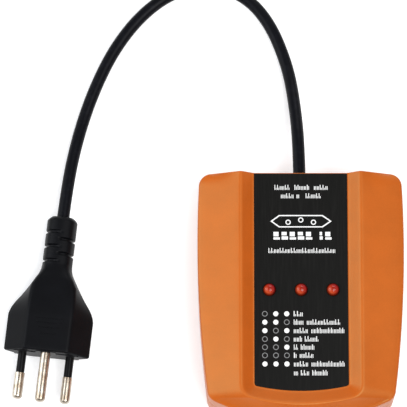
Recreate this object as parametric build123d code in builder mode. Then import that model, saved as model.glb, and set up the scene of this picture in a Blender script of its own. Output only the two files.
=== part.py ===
"""Outlet tester: a palm-sized case with three lamps, on a short lead with a three-pin plug.

Millimetres, +Z up. The tester lies on its back, its lamps facing up and its lead leaving
towards +Y. The origin is the centre of the case's back, on the surface it lies on.
"""

from build123d import *
import os
from math import pi, radians, tan

os.makedirs("parts", exist_ok=True)

# Case
HALF_LENGTH = 49.5
HALF_WIDTH = 40.8
WIDEST_Y = 22.2
TOP_HALF_WIDTH = 40.0
BOTTOM_HALF_WIDTH = 36.6
BOTTOM_CORNER_Y = -40.4
TOP_CORNER_RADIUS = 5.0
BOTTOM_CORNER_RADIUS = 5.0
PARTING_Z = 15.0
EDGE_Z = 27.0
RIDGE_Z = 33.0
VALLEY_Z = 29.3
WALL = 2.2
BACK_EDGE_RADIUS = 2.0
SEAM_DEPTH = 0.4
SEAM_HEIGHT = 0.5
LIP_THICKNESS = 1.0
LIP_HEIGHT = 1.8
LIP_GAP = 0.1

# Ridge that frames the valley, and the valley's floor
RIDGE_HALF_WIDTH = 23.6
RIDGE_BOTTOM_Y = -43.6
RIDGE_CORNER_Y = -40.2
RIDGE_CORNER_RADIUS = 6.0
RIDGE_LAND = 1.2
FLOOR_HALF_WIDTH = 18.9
FLOOR_BOTTOM_Y = -38.4
FLOOR_CORNER_Y = -36.2
FLOOR_CORNER_RADIUS = 1.6

# Front label, let into the valley's floor
LABEL_THICKNESS = 0.4
LABEL_HALF_WIDTH = 18.4
LABEL_TOP_Y = 49.1
LABEL_BOTTOM_Y = -37.9
LABEL_CORNER_Y = -35.8
LABEL_CORNER_RADIUS = 1.2
LABEL_GAP = 0.15

# Rating label on the back
RATING_SIZE = (44.0, 28.0)
RATING_THICKNESS = 0.3
RATING_DEPTH = 0.4
RATING_Y = 4.0

# Lamps
LAMP_Y = 2.3
LAMP_PITCH = 12.5
LAMP_RADIUS = 2.5
LAMP_RIM_RADIUS = 2.9
LAMP_RIM_HEIGHT = 1.0
LAMP_HEIGHT = 8.6
LAMP_BASE_Z = 23.0
LAMP_HOLE_RADIUS = 2.65
LEAD_RADIUS = 0.3
LEAD_PITCH = 2.54
LEAD_STUB = 1.2

# Circuit board
BOARD_WIDTH = 60.0
BOARD_BOTTOM_Y = -29.0
BOARD_TOP_Y = 28.0
BOARD_Z = 18.0
BOARD_THICKNESS = 1.6
BOARD_TOP_Z = BOARD_Z + BOARD_THICKNESS
BOARD_SCREW_PLACES = [(-26.0, 24.0), (26.0, 24.0), (-26.0, -25.0), (26.0, -25.0)]
BOARD_SCREW_RADIUS = 1.1
BOARD_SCREW_HEAD_RADIUS = 2.1
BOARD_SCREW_HEAD_HEIGHT = 1.5
BOARD_SCREW_LENGTH = 6.0
BOARD_BOSS_RADIUS = 3.0

# Axial components on the board: body radius, body length, lead pitch and places
RESISTOR = (1.6, 9.0, 12.7)
RESISTOR_PLACES = [(x, y) for x in (-9.0, 9.0) for y in (-8.0, -13.0, -18.0)]
DIODE = (1.35, 5.2, 10.16)
DIODE_PLACES = [(-LAMP_PITCH, -24.0), (0.0, -24.0), (LAMP_PITCH, -24.0)]
FUSE = (2.1, 11.0, 15.24)
FUSE_PLACES = [(0.0, 13.0)]
COMPONENT_LIFT = 0.3

# Case screws, driven from the back
SCREW_PLACES = [(-31.0, 39.0), (31.0, 39.0), (-28.5, -35.0), (28.5, -35.0)]
POST_RADIUS = 3.8
SCREW_RADIUS = 1.5
SCREW_CLEARANCE_RADIUS = 1.7
SCREW_HEAD_RADIUS = 2.8
SCREW_HEAD_HEIGHT = 2.2
SCREW_RECESS_RADIUS = 3.1
SCREW_RECESS_DEPTH = 5.0
SCREW_LENGTH = 18.0

# Lead, with its route from inside the case to the plug
CORD_RADIUS = 2.5
CORD_Z = 15.0
GROMMET_RADIUS = 4.2
GROMMET_FLANGE_RADIUS = 5.4
GROMMET_FLANGE = 1.2
CORD_ROUTE = [
    (0.0, 38.5, 15.0),
    (0.0, 62.0, 15.0),
    (-1.6, 84.0, 6.5),
    (-4.5, 101.0, 2.5),
    (-11.5, 118.5, 2.5),
    (-21.5, 129.8, 2.5),
    (-35.0, 134.5, 2.5),
    (-49.5, 132.0, 2.5),
    (-62.5, 123.0, 2.5),
    (-74.0, 108.5, 2.5),
    (-82.5, 91.0, 2.5),
    (-89.0, 71.5, 2.5),
    (-93.15, 49.1, 8.5),
    (-95.2, 30.8, 8.5),
]

# Cord clamp inside the case
CLAMP_Y = 41.5
CLAMP_LENGTH = 6.0
CLAMP_WIDTH = 24.0
CLAMP_SPLIT_Z = 14.0
CLAMP_TOP_Z = 19.5
CLAMP_SCREW_X = 8.0
CLAMP_SCREW_RADIUS = 1.25
CLAMP_SCREW_HEAD_RADIUS = 2.2
CLAMP_SCREW_HEAD_HEIGHT = 1.6
CLAMP_SCREW_LENGTH = 11.0

# Insulated cores: live, neutral and earth leave the lead's end as a triangle
CORE_RADIUS = 0.85
CORE_OFFSETS = {"live": (-1.05, -0.6), "neutral": (1.05, -0.6), "earth": (0.0, 1.2)}
TERMINAL_X = {"live": -7.0, "neutral": 7.0, "earth": 0.0}
TERMINAL_Y = 23.0
TERMINAL_SIZE = 2.4
TERMINAL_PIN_RADIUS = 0.6
TERMINAL_BOTTOM_Z = 14.6

# Plug: depths are counted from its end face back towards the lead
PLUG_HALF_THICKNESS = 8.5
PLUG_HALF_WIDTH = 17.4
PLUG_FLAT_HALF_WIDTH = 8.8
PLUG_EDGE_RADIUS = 0.8
SHOULDER_DEPTH = 14.5
FLARE = [
    (14.5, 17.4),
    (17.5, 16.5),
    (20.0, 15.0),
    (22.5, 13.1),
    (25.5, 11.0),
    (29.0, 8.9),
    (33.0, 7.1),
    (36.0, 6.2),
]
NECK_START = 36.0
NECK_END = 55.5
NECK_RADIUS = 6.0
NECK_NOSE_LENGTH = 1.6
NECK_NOSE_INSET = 1.4
GROOVE_DEPTHS = {-1: (37.4, 43.2, 49.1), 1: (40.3, 46.2)}
GROOVE_WIDTH = 1.2
GROOVE_INSET = 1.1
CABLE_BORE = 4.5

# Pins and the carrier that holds them
PIN_RADIUS = 2.0
PIN_SPACING = 19.0
PIN_LENGTH = 19.0
PIN_TIP_RADIUS = 1.3
EARTH_LENGTH = 20.0
EARTH_OFFSET = 5.0
EARTH_ROOT_RADIUS = 1.7
SLEEVE_RADIUS = 1.7
SLEEVE_LENGTH = 8.4
SLEEVE_ROOT = 3.0
PIN_NECK_RADIUS = 1.1
CARRIER_DEPTH = 8.0
CARRIER_PROUD = 0.3
CARRIER_HALF_WIDTH = 13.0
CARRIER_HALF_HEIGHT = 4.0
CARRIER_TAB_HALF_WIDTH = 4.0
CARRIER_TAB_TOP = 7.5
CRIMP_RADIUS = 1.6
CRIMP_LENGTH = 5.0


def save(builder, name):
    """Label a finished piece and write it."""
    builder.part.label = name
    export_step(builder.part, f"parts/{name}.step")


# ---------------------------------------------------------------- case shells
def case_outline(z, inset=0.0):
    """The case seen from the front: straight top, gently bulging sides, bowed bottom."""
    with BuildSketch(Plane.XY.offset(z)) as sketch:
        with BuildLine():
            Line((-TOP_HALF_WIDTH, HALF_LENGTH), (TOP_HALF_WIDTH, HALF_LENGTH))
            for side in (1, -1):
                ThreePointArc(
                    (side * TOP_HALF_WIDTH, HALF_LENGTH),
                    (side * HALF_WIDTH, WIDEST_Y),
                    (side * BOTTOM_HALF_WIDTH, BOTTOM_CORNER_Y),
                )
            ThreePointArc(
                (-BOTTOM_HALF_WIDTH, BOTTOM_CORNER_Y),
                (0, -HALF_LENGTH),
                (BOTTOM_HALF_WIDTH, BOTTOM_CORNER_Y),
            )
        make_face()
        fillet(sketch.vertices().sort_by(Axis.Y)[-2:], TOP_CORNER_RADIUS)
        fillet(sketch.vertices().sort_by(Axis.Y)[:2], BOTTOM_CORNER_RADIUS)
        if inset:
            offset(amount=-inset, kind=Kind.INTERSECTION)
    return sketch.sketch.face()


def tongue(z, half_width, bottom_y, corner_y, radius, top_y=HALF_LENGTH, top_radius=0.0):
    """A straight-sided outline, open-ended at the top, with a bowed bottom."""
    with BuildSketch(Plane.XY.offset(z)) as sketch:
        with BuildLine():
            Polyline(
                (-half_width, corner_y),
                (-half_width, top_y),
                (half_width, top_y),
                (half_width, corner_y),
            )
            ThreePointArc((-half_width, corner_y), (0, bottom_y), (half_width, corner_y))
        make_face()
        fillet(sketch.vertices().sort_by(Axis.Y)[:2], radius)
        if top_radius:
            fillet(sketch.vertices().sort_by(Axis.Y)[-2:], top_radius)
    return sketch.sketch.face()


def ridge_outline(z, grow, top_y=HALF_LENGTH, top_radius=0.0):
    """The ridge's line, moved outwards by grow."""
    return tongue(
        z,
        RIDGE_HALF_WIDTH + grow,
        RIDGE_BOTTOM_Y - grow,
        RIDGE_CORNER_Y - grow,
        RIDGE_CORNER_RADIUS + grow,
        top_y,
        top_radius,
    )


def front_block(inset):
    """The front half as a solid, every face moved inwards by inset."""
    valley_run_out = 8.0
    with BuildPart() as block:
        extrude(case_outline(PARTING_Z, inset), amount=EDGE_Z - inset - PARTING_Z)
        loft(
            [
                case_outline(EDGE_Z - inset, inset),
                ridge_outline(RIDGE_Z - inset, RIDGE_LAND / 2, HALF_LENGTH - inset, 0.3),
            ],
            ruled=True,
        )
        loft(
            [
                tongue(
                    VALLEY_Z - inset,
                    FLOOR_HALF_WIDTH + inset / 2,
                    FLOOR_BOTTOM_Y - inset / 2,
                    FLOOR_CORNER_Y - inset / 2,
                    FLOOR_CORNER_RADIUS,
                    HALF_LENGTH + valley_run_out,
                ),
                ridge_outline(RIDGE_Z - inset, -RIDGE_LAND / 2, HALF_LENGTH + valley_run_out),
            ],
            ruled=True,
            mode=Mode.SUBTRACT,
        )
    return block.part


def columns(places, radius, bottom_z, top_z):
    """Round posts standing at the given places."""
    with BuildPart() as posts:
        with BuildSketch(Plane.XY.offset(bottom_z)):
            with Locations(*places):
                Circle(radius)
        extrude(amount=top_z - bottom_z)
    return posts.part


def along_y(radius, start_y, end_y, z=CORD_Z):
    """A round bar along the lead's line through the case."""
    with BuildPart() as bar:
        with BuildSketch(Plane(origin=(0, start_y, z), x_dir=(1, 0, 0), z_dir=(0, 1, 0))):
            Circle(radius)
        extrude(amount=end_y - start_y)
    return bar.part


front_outside = front_block(0.0)
front_inside = front_block(WALL)
lamp_places = [(i * LAMP_PITCH, LAMP_Y) for i in (-1, 0, 1)]

with BuildPart() as front_shell:
    add(front_outside)
    add(front_inside, mode=Mode.SUBTRACT)
    add(columns(SCREW_PLACES, POST_RADIUS, PARTING_Z, RIDGE_Z))
    add(columns(BOARD_SCREW_PLACES, BOARD_BOSS_RADIUS, BOARD_TOP_Z, RIDGE_Z))
    add(front_outside, mode=Mode.INTERSECT)
    # Rebate that takes the back shell's lip, clear of the screw posts
    rebate_height = LIP_HEIGHT + LIP_GAP
    extrude(
        case_outline(PARTING_Z, WALL - LIP_THICKNESS - LIP_GAP),
        amount=rebate_height,
        mode=Mode.SUBTRACT,
    )
    add(columns(SCREW_PLACES, POST_RADIUS, PARTING_Z, PARTING_Z + rebate_height))
    # Pocket for the label, holes for the lamps, notch for the lead's grommet
    extrude(
        tongue(
            VALLEY_Z - LABEL_THICKNESS,
            LABEL_HALF_WIDTH + LABEL_GAP,
            LABEL_BOTTOM_Y - LABEL_GAP,
            LABEL_CORNER_Y - LABEL_GAP,
            LABEL_CORNER_RADIUS + LABEL_GAP,
            LABEL_TOP_Y + LABEL_GAP,
        ),
        amount=LABEL_THICKNESS,
        mode=Mode.SUBTRACT,
    )
    add(columns(lamp_places, LAMP_HOLE_RADIUS, BOARD_TOP_Z, VALLEY_Z), mode=Mode.SUBTRACT)
    add(along_y(GROMMET_RADIUS, HALF_LENGTH - 2 * WALL, HALF_LENGTH), mode=Mode.SUBTRACT)
    # Pilot holes that the case screws and the board screws cut their threads in
    screw_top_z = SCREW_RECESS_DEPTH + SCREW_LENGTH
    board_screw_top_z = BOARD_Z + BOARD_SCREW_LENGTH
    add(columns(SCREW_PLACES, SCREW_RADIUS, PARTING_Z, screw_top_z), mode=Mode.SUBTRACT)
    add(
        columns(BOARD_SCREW_PLACES, BOARD_SCREW_RADIUS, BOARD_TOP_Z, board_screw_top_z),
        mode=Mode.SUBTRACT,
    )
save(front_shell, "front_shell")

with BuildPart() as rear_shell:
    extrude(case_outline(0.0), amount=PARTING_Z - SEAM_HEIGHT)
    fillet(rear_shell.edges().group_by(Axis.Z)[0], BACK_EDGE_RADIUS)
    # Shallow shadow line under the parting plane, then the lip that locates the front shell
    extrude(case_outline(PARTING_Z - SEAM_HEIGHT, SEAM_DEPTH), amount=SEAM_HEIGHT)
    extrude(case_outline(PARTING_Z, WALL - LIP_THICKNESS), amount=LIP_HEIGHT)
    extrude(case_outline(WALL, WALL), amount=PARTING_Z + LIP_HEIGHT - WALL, mode=Mode.SUBTRACT)
    add(columns(SCREW_PLACES, POST_RADIUS, WALL / 2, PARTING_Z))
    # Cradle that the cord clamp screws down on
    with BuildSketch(Plane.XY.offset(WALL / 2)):
        with Locations((0, CLAMP_Y)):
            Rectangle(CLAMP_WIDTH, CLAMP_LENGTH)
    extrude(amount=CLAMP_SPLIT_Z - WALL / 2)
    add(along_y(CORD_RADIUS, CLAMP_Y - CLAMP_LENGTH, CLAMP_Y + CLAMP_LENGTH), mode=Mode.SUBTRACT)
    add(along_y(GROMMET_RADIUS, HALF_LENGTH - 2 * WALL, HALF_LENGTH), mode=Mode.SUBTRACT)
    clamp_screw_places = [(-CLAMP_SCREW_X, CLAMP_Y), (CLAMP_SCREW_X, CLAMP_Y)]
    clamp_screw_bottom_z = CLAMP_TOP_Z - CLAMP_SCREW_LENGTH
    add(
        columns(clamp_screw_places, CLAMP_SCREW_RADIUS, clamp_screw_bottom_z, CLAMP_SPLIT_Z),
        mode=Mode.SUBTRACT,
    )
    # Room for the case screws: a wide recess from the back, then a clearance hole
    add(columns(SCREW_PLACES, SCREW_RECESS_RADIUS, 0.0, SCREW_RECESS_DEPTH), mode=Mode.SUBTRACT)
    add(columns(SCREW_PLACES, SCREW_CLEARANCE_RADIUS, 0.0, PARTING_Z), mode=Mode.SUBTRACT)
    # Shallow pocket for the rating label
    with BuildSketch(Plane.XY):
        with Locations((0, RATING_Y)):
            RectangleRounded(RATING_SIZE[0] + 2 * LABEL_GAP, RATING_SIZE[1] + 2 * LABEL_GAP, 1.5)
    extrude(amount=RATING_DEPTH, mode=Mode.SUBTRACT)
save(rear_shell, "rear_shell")


# ---------------------------------------------------------------- labels
with BuildPart() as front_label:
    extrude(
        tongue(
            VALLEY_Z - LABEL_THICKNESS,
            LABEL_HALF_WIDTH,
            LABEL_BOTTOM_Y,
            LABEL_CORNER_Y,
            LABEL_CORNER_RADIUS,
            LABEL_TOP_Y,
        ),
        amount=LABEL_THICKNESS,
    )
    with Locations(*[(x, y, VALLEY_Z) for x, y in lamp_places]):
        Hole(LAMP_HOLE_RADIUS)
save(front_label, "front_label")

with BuildPart() as rating_label:
    with BuildSketch(Plane.XY.offset(RATING_DEPTH - RATING_THICKNESS)):
        with Locations((0, RATING_Y)):
            RectangleRounded(RATING_SIZE[0], RATING_SIZE[1], 1.5)
    extrude(amount=RATING_THICKNESS)
save(rating_label, "rating_label")


# ---------------------------------------------------------------- screws
def screws(name, places, seat_z, head_radius, head_height, shank_radius, length, way):
    """Pan-head screws with a cross recess, from the head's seat along way (1 up, -1 down)."""
    head_end = 0 if way > 0 else -1
    slot_length = 1.3 * head_radius
    slot_width = 0.4 * head_radius
    with BuildPart() as group:
        with BuildSketch(Plane.XY.offset(seat_z)):
            with Locations(*places):
                Circle(head_radius)
        extrude(amount=-way * head_height)
        fillet(group.edges().group_by(Axis.Z)[head_end], 0.35 * head_height)
        with BuildSketch(Plane.XY.offset(seat_z)):
            with Locations(*places):
                Circle(shank_radius)
        extrude(amount=way * length)
        chamfer(group.edges().group_by(Axis.Z)[-1 - head_end], 0.6 * shank_radius)
        with BuildSketch(Plane.XY.offset(seat_z - way * head_height)):
            with Locations(*places):
                Rectangle(slot_length, slot_width)
                Rectangle(slot_width, slot_length)
        extrude(amount=way * 0.6 * head_height, mode=Mode.SUBTRACT)
    save(group, name)


screws(
    "case_screws",
    SCREW_PLACES,
    SCREW_RECESS_DEPTH,
    SCREW_HEAD_RADIUS,
    SCREW_HEAD_HEIGHT,
    SCREW_RADIUS,
    SCREW_LENGTH,
    way=1,
)
screws(
    "board_screws",
    BOARD_SCREW_PLACES,
    BOARD_Z,
    BOARD_SCREW_HEAD_RADIUS,
    BOARD_SCREW_HEAD_HEIGHT,
    BOARD_SCREW_RADIUS,
    BOARD_SCREW_LENGTH,
    way=1,
)
screws(
    "clamp_screws",
    clamp_screw_places,
    CLAMP_TOP_Z,
    CLAMP_SCREW_HEAD_RADIUS,
    CLAMP_SCREW_HEAD_HEIGHT,
    CLAMP_SCREW_RADIUS,
    CLAMP_SCREW_LENGTH,
    way=-1,
)


# ---------------------------------------------------------------- lamps and board
def side_plane(x, y, z):
    """An upright plane facing the front of the bench: its X is +X and its Y is +Z."""
    return Plane(origin=(x, y, z), x_dir=(1, 0, 0), z_dir=(0, -1, 0))


for (lamp_x, lamp_y), side_name in zip(lamp_places, ("left", "centre", "right")):
    dome_z = LAMP_HEIGHT - LAMP_RADIUS
    with BuildPart() as lamp:
        with BuildSketch(side_plane(lamp_x, lamp_y, LAMP_BASE_Z)):
            with BuildLine():
                Polyline(
                    (0, LAMP_HEIGHT),
                    (0, 0),
                    (LAMP_RIM_RADIUS, 0),
                    (LAMP_RIM_RADIUS, LAMP_RIM_HEIGHT),
                    (LAMP_RADIUS, LAMP_RIM_HEIGHT),
                    (LAMP_RADIUS, dome_z),
                )
                CenterArc((0, dome_z), LAMP_RADIUS, 0, 90)
            make_face()
        revolve(axis=Axis((lamp_x, lamp_y, 0), (0, 0, 1)))
    save(lamp, f"led_{side_name}")

lamp_lead_places = [(x + side * LEAD_PITCH / 2, y) for x, y in lamp_places for side in (-1, 1)]
with BuildPart() as led_leads:
    add(columns(lamp_lead_places, LEAD_RADIUS, BOARD_Z - LEAD_STUB, LAMP_BASE_Z))
save(led_leads, "led_leads")

axial_kinds = {
    "dropper_resistors": (RESISTOR, RESISTOR_PLACES),
    "rectifier_diodes": (DIODE, DIODE_PLACES),
    "fusible_resistor": (FUSE, FUSE_PLACES),
}


def axial_lead_places(pitch, places):
    """Where the two leads of each axial component go through the board."""
    return [(x + side * pitch / 2, y) for x, y in places for side in (-1, 1)]


board_hole_places = list(lamp_lead_places)
for (_, _, pitch), places in axial_kinds.values():
    board_hole_places += axial_lead_places(pitch, places)
terminal_places = [(x, TERMINAL_Y) for x in TERMINAL_X.values()]

with BuildPart() as circuit_board:
    with BuildSketch(Plane.XY.offset(BOARD_Z)):
        with Locations((0, (BOARD_TOP_Y + BOARD_BOTTOM_Y) / 2)):
            RectangleRounded(BOARD_WIDTH, BOARD_TOP_Y - BOARD_BOTTOM_Y, 1.0)
        with Locations(*board_hole_places):
            Circle(LEAD_RADIUS, mode=Mode.SUBTRACT)
        with Locations(*BOARD_SCREW_PLACES):
            Circle(BOARD_SCREW_RADIUS, mode=Mode.SUBTRACT)
        with Locations(*terminal_places):
            Circle(TERMINAL_PIN_RADIUS, mode=Mode.SUBTRACT)
    extrude(amount=BOARD_THICKNESS)
save(circuit_board, "circuit_board")

for kind, ((body_radius, body_length, pitch), places) in axial_kinds.items():
    centre_z = BOARD_TOP_Z + COMPONENT_LIFT + body_radius
    half = body_length / 2
    waist = 0.88 * body_radius
    cap = 0.22 * body_length
    with BuildPart() as axial:
        for x, y in places:
            with BuildSketch(side_plane(x, y, centre_z)):
                with BuildLine():
                    Polyline(
                        (-half, 0),
                        (-half, body_radius),
                        (cap - half, body_radius),
                        (1.25 * cap - half, waist),
                        (half - 1.25 * cap, waist),
                        (half - cap, body_radius),
                        (half, body_radius),
                        (half, 0),
                        close=True,
                    )
                make_face()
            revolve(axis=Axis((x, y, centre_z), (1, 0, 0)))
            with BuildSketch(Plane(origin=(x - pitch / 2, y, centre_z), x_dir=(0, 1, 0), z_dir=(1, 0, 0))):
                Circle(LEAD_RADIUS)
            extrude(amount=pitch)
        add(columns(axial_lead_places(pitch, places), LEAD_RADIUS, BOARD_Z - LEAD_STUB, centre_z))
        with Locations(*[(px, py, centre_z) for px, py in axial_lead_places(pitch, places)]):
            Sphere(LEAD_RADIUS)
    save(axial, kind)

with BuildPart() as board_terminals:
    with BuildSketch(Plane.XY.offset(TERMINAL_BOTTOM_Z)):
        with Locations(*terminal_places):
            RectangleRounded(TERMINAL_SIZE, TERMINAL_SIZE, 0.2)
    extrude(amount=BOARD_Z - TERMINAL_BOTTOM_Z)
    add(columns(terminal_places, TERMINAL_PIN_RADIUS, BOARD_Z, BOARD_TOP_Z + LEAD_STUB))
save(board_terminals, "board_terminals")


# ---------------------------------------------------------------- lead and its entry
with BuildPart() as cord_grommet:
    wall_inside_y = HALF_LENGTH - WALL
    add(along_y(GROMMET_FLANGE_RADIUS, HALF_LENGTH, HALF_LENGTH + GROMMET_FLANGE))
    fillet(cord_grommet.edges().group_by(Axis.Y)[-1], GROMMET_FLANGE / 2)
    add(along_y(GROMMET_RADIUS, wall_inside_y, HALF_LENGTH))
    add(along_y(GROMMET_FLANGE_RADIUS, wall_inside_y - GROMMET_FLANGE, wall_inside_y))
    add(along_y(CORD_RADIUS, CLAMP_Y, HALF_LENGTH + 2 * GROMMET_FLANGE), mode=Mode.SUBTRACT)
save(cord_grommet, "cord_grommet")

with BuildPart() as cord_clamp:
    with BuildSketch(Plane.XY.offset(CLAMP_SPLIT_Z)):
        with Locations((0, CLAMP_Y)):
            RectangleRounded(CLAMP_WIDTH, CLAMP_LENGTH, 1.0)
    extrude(amount=CLAMP_TOP_Z - CLAMP_SPLIT_Z)
    add(along_y(CORD_RADIUS, CLAMP_Y - CLAMP_LENGTH, CLAMP_Y + CLAMP_LENGTH), mode=Mode.SUBTRACT)
    with Locations(*[(x, y, CLAMP_TOP_Z) for x, y in clamp_screw_places]):
        Hole(CLAMP_SCREW_RADIUS)
save(cord_clamp, "cord_clamp")


def corner_radii(route, share=0.45):
    """Each corner's arc takes the same share of its shorter run."""
    radii = []
    for before, corner, after in zip(route, route[1:], route[2:]):
        run_in = Vector(corner) - Vector(before)
        run_out = Vector(after) - Vector(corner)
        half_turn = radians(run_in.get_angle(run_out)) / 2
        radii.append(share * min(run_in.length, run_out.length) / tan(half_turn))
    return radii


def tube(route, radius):
    """A round tube along straight runs joined by tangent arcs, and its length."""
    with BuildPart() as swept:
        with BuildLine() as path:
            FilletPolyline(*route, radius=corner_radii(route))
        centre_line = path.wire()
        with BuildSketch(Plane(origin=centre_line @ 0, z_dir=centre_line % 0)):
            Circle(radius)
        sweep(path=centre_line)
    return swept, centre_line.length


cord, cord_length = tube(CORD_ROUTE, CORD_RADIUS)
print("cord radii", [round(radius, 1) for radius in corner_radii(CORD_ROUTE)])
print("cord length", round(cord_length, 1))
print("cord volume over section times length", cord.part.volume / (pi * CORD_RADIUS**2 * cord_length))
save(cord, "cord")

cord_start_y = CORD_ROUTE[0][1]
for name, (core_x, core_z) in CORE_OFFSETS.items():
    pad_x = TERMINAL_X[name]
    pad_z = TERMINAL_BOTTOM_Z + CORE_RADIUS + 0.2
    pad_face_y = TERMINAL_Y + TERMINAL_SIZE / 2
    core_route = [
        (core_x, cord_start_y, CORD_Z + core_z),
        (core_x, cord_start_y - 3.5, CORD_Z + core_z),
        (pad_x, pad_face_y + 3.5, pad_z),
        (pad_x, pad_face_y, pad_z),
    ]
    core, _ = tube(core_route, CORE_RADIUS)
    save(core, f"{name}_core")


# ---------------------------------------------------------------- plug
# The plug's own plane: X across the plug, Y up, Z out past the pin tips. Its place follows
# from the lead's last run, which ends inside the neck.
lead_end = Vector(CORD_ROUTE[-1])
pins_way = (lead_end - Vector(CORD_ROUTE[-2])).normalized()
PLUG = Plane(
    origin=lead_end + pins_way * (NECK_END - CABLE_BORE),
    x_dir=(-pins_way.Y, pins_way.X, 0),
    z_dir=pins_way,
)


def plug_section(depth, half_width, flat_half_width, half_height, radius):
    """The plug's six-sided section, at a depth behind its end face."""
    with BuildSketch(PLUG.offset(-depth)) as sketch:
        Polygon(
            (-half_width, 0),
            (-flat_half_width, -half_height),
            (flat_half_width, -half_height),
            (half_width, 0),
            (flat_half_width, half_height),
            (-flat_half_width, half_height),
            align=None,
        )
        fillet(sketch.vertices(), radius)
    return sketch.sketch.face()


def plug_bar(radius, deep, shallow, place=(0.0, 0.0)):
    """A round bar along the plug, between two depths behind its end face."""
    with BuildPart() as bar:
        with BuildSketch(PLUG.offset(-deep)):
            with Locations(place):
                Circle(radius)
        extrude(amount=deep - shallow)
    return bar.part


def flare_section(depth, half_width):
    """The section shrinks from the shoulder's hexagon to almost the neck's round."""
    share = (half_width - FLARE[-1][1]) / (PLUG_HALF_WIDTH - FLARE[-1][1])
    flat_half_width = min(PLUG_FLAT_HALF_WIDTH, 0.86 * half_width)
    half_height = NECK_RADIUS + (PLUG_HALF_THICKNESS - NECK_RADIUS) * share**0.6
    radius = PLUG_EDGE_RADIUS + (1 - share) * 1.6
    return plug_section(depth, half_width, flat_half_width, half_height, radius)


def turned_on_pin(draw_profile, place):
    """A profile of (radius, distance past the end face) turned about one pin's axis."""
    origin = PLUG.from_local_coords(Vector(place[0], place[1], 0))
    with BuildPart() as turned:
        with BuildSketch(Plane(origin=origin, x_dir=PLUG.x_dir, z_dir=-PLUG.y_dir)):
            with BuildLine():
                draw_profile()
            make_face()
        revolve(axis=Axis(origin, PLUG.z_dir))
    return turned


def pin_profile(root_radius, shoulder, tip_height):
    """Crimp barrel, thinner root up to a shoulder, then the pin with its rounded tip."""

    def draw():
        round_start = tip_height - PIN_TIP_RADIUS
        flat_radius = PIN_RADIUS - PIN_TIP_RADIUS
        Polyline(
            (flat_radius, tip_height),
            (0, tip_height),
            (0, -CARRIER_DEPTH - CRIMP_LENGTH),
            (CRIMP_RADIUS, -CARRIER_DEPTH - CRIMP_LENGTH),
            (CRIMP_RADIUS, -CARRIER_DEPTH),
            (root_radius, -CARRIER_DEPTH),
            (root_radius, shoulder),
            (PIN_RADIUS, shoulder),
            (PIN_RADIUS, round_start),
        )
        CenterArc((flat_radius, round_start), PIN_TIP_RADIUS, 0, 90)

    return draw


def sleeve_profile():
    """Thin insulating tube around the first half of a pin."""
    Polyline(
        (PIN_NECK_RADIUS, -SLEEVE_ROOT),
        (SLEEVE_RADIUS, -SLEEVE_ROOT),
        (SLEEVE_RADIUS, SLEEVE_LENGTH),
        (PIN_NECK_RADIUS, SLEEVE_LENGTH),
        close=True,
    )


pin_places = {
    "live": (-PIN_SPACING / 2, 0.0),
    "neutral": (PIN_SPACING / 2, 0.0),
    "earth": (0.0, EARTH_OFFSET),
}
pins = {
    name: turned_on_pin(pin_profile(PIN_NECK_RADIUS, SLEEVE_LENGTH, PIN_LENGTH), pin_places[name])
    for name in ("live", "neutral")
}
pins["earth"] = turned_on_pin(
    pin_profile(EARTH_ROOT_RADIUS, CARRIER_PROUD, EARTH_LENGTH), pin_places["earth"]
)
for name, pin in pins.items():
    save(pin, f"{name}_pin")
for name in ("live", "neutral"):
    save(turned_on_pin(sleeve_profile, pin_places[name]), f"{name}_pin_sleeve")

with BuildPart() as pin_carrier:
    with BuildSketch(PLUG.offset(-CARRIER_DEPTH)) as carrier_face:
        Rectangle(2 * CARRIER_HALF_WIDTH, 2 * CARRIER_HALF_HEIGHT)
        with Locations((0, CARRIER_TAB_TOP / 2)):
            Rectangle(2 * CARRIER_TAB_HALF_WIDTH, CARRIER_TAB_TOP)
        fillet(carrier_face.vertices(), 1.0)
    extrude(amount=CARRIER_DEPTH + CARRIER_PROUD)
    carrier_block = pin_carrier.part
    for name in ("live", "neutral"):
        add(
            plug_bar(PIN_NECK_RADIUS, CARRIER_DEPTH, SLEEVE_ROOT, pin_places[name]),
            mode=Mode.SUBTRACT,
        )
        add(
            plug_bar(SLEEVE_RADIUS, SLEEVE_ROOT, -CARRIER_PROUD, pin_places[name]),
            mode=Mode.SUBTRACT,
        )
    add(
        plug_bar(EARTH_ROOT_RADIUS, CARRIER_DEPTH, -CARRIER_PROUD, pin_places["earth"]),
        mode=Mode.SUBTRACT,
    )
save(pin_carrier, "pin_carrier")

jacket_depth = NECK_END - CABLE_BORE
crimp_depth = CARRIER_DEPTH + CRIMP_LENGTH
plug_cores = []
for name, (core_x, core_y) in CORE_OFFSETS.items():
    pin_x, pin_y = pin_places[name]
    local_route = [
        (core_x, core_y, -jacket_depth),
        (core_x, core_y, -jacket_depth + 9.0),
        (pin_x, pin_y, -crimp_depth - 9.0),
        (pin_x, pin_y, -crimp_depth),
    ]
    core, _ = tube([PLUG.from_local_coords(Vector(point)) for point in local_route], CORE_RADIUS)
    save(core, f"plug_{name}_core")
    plug_cores.append(core)

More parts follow.
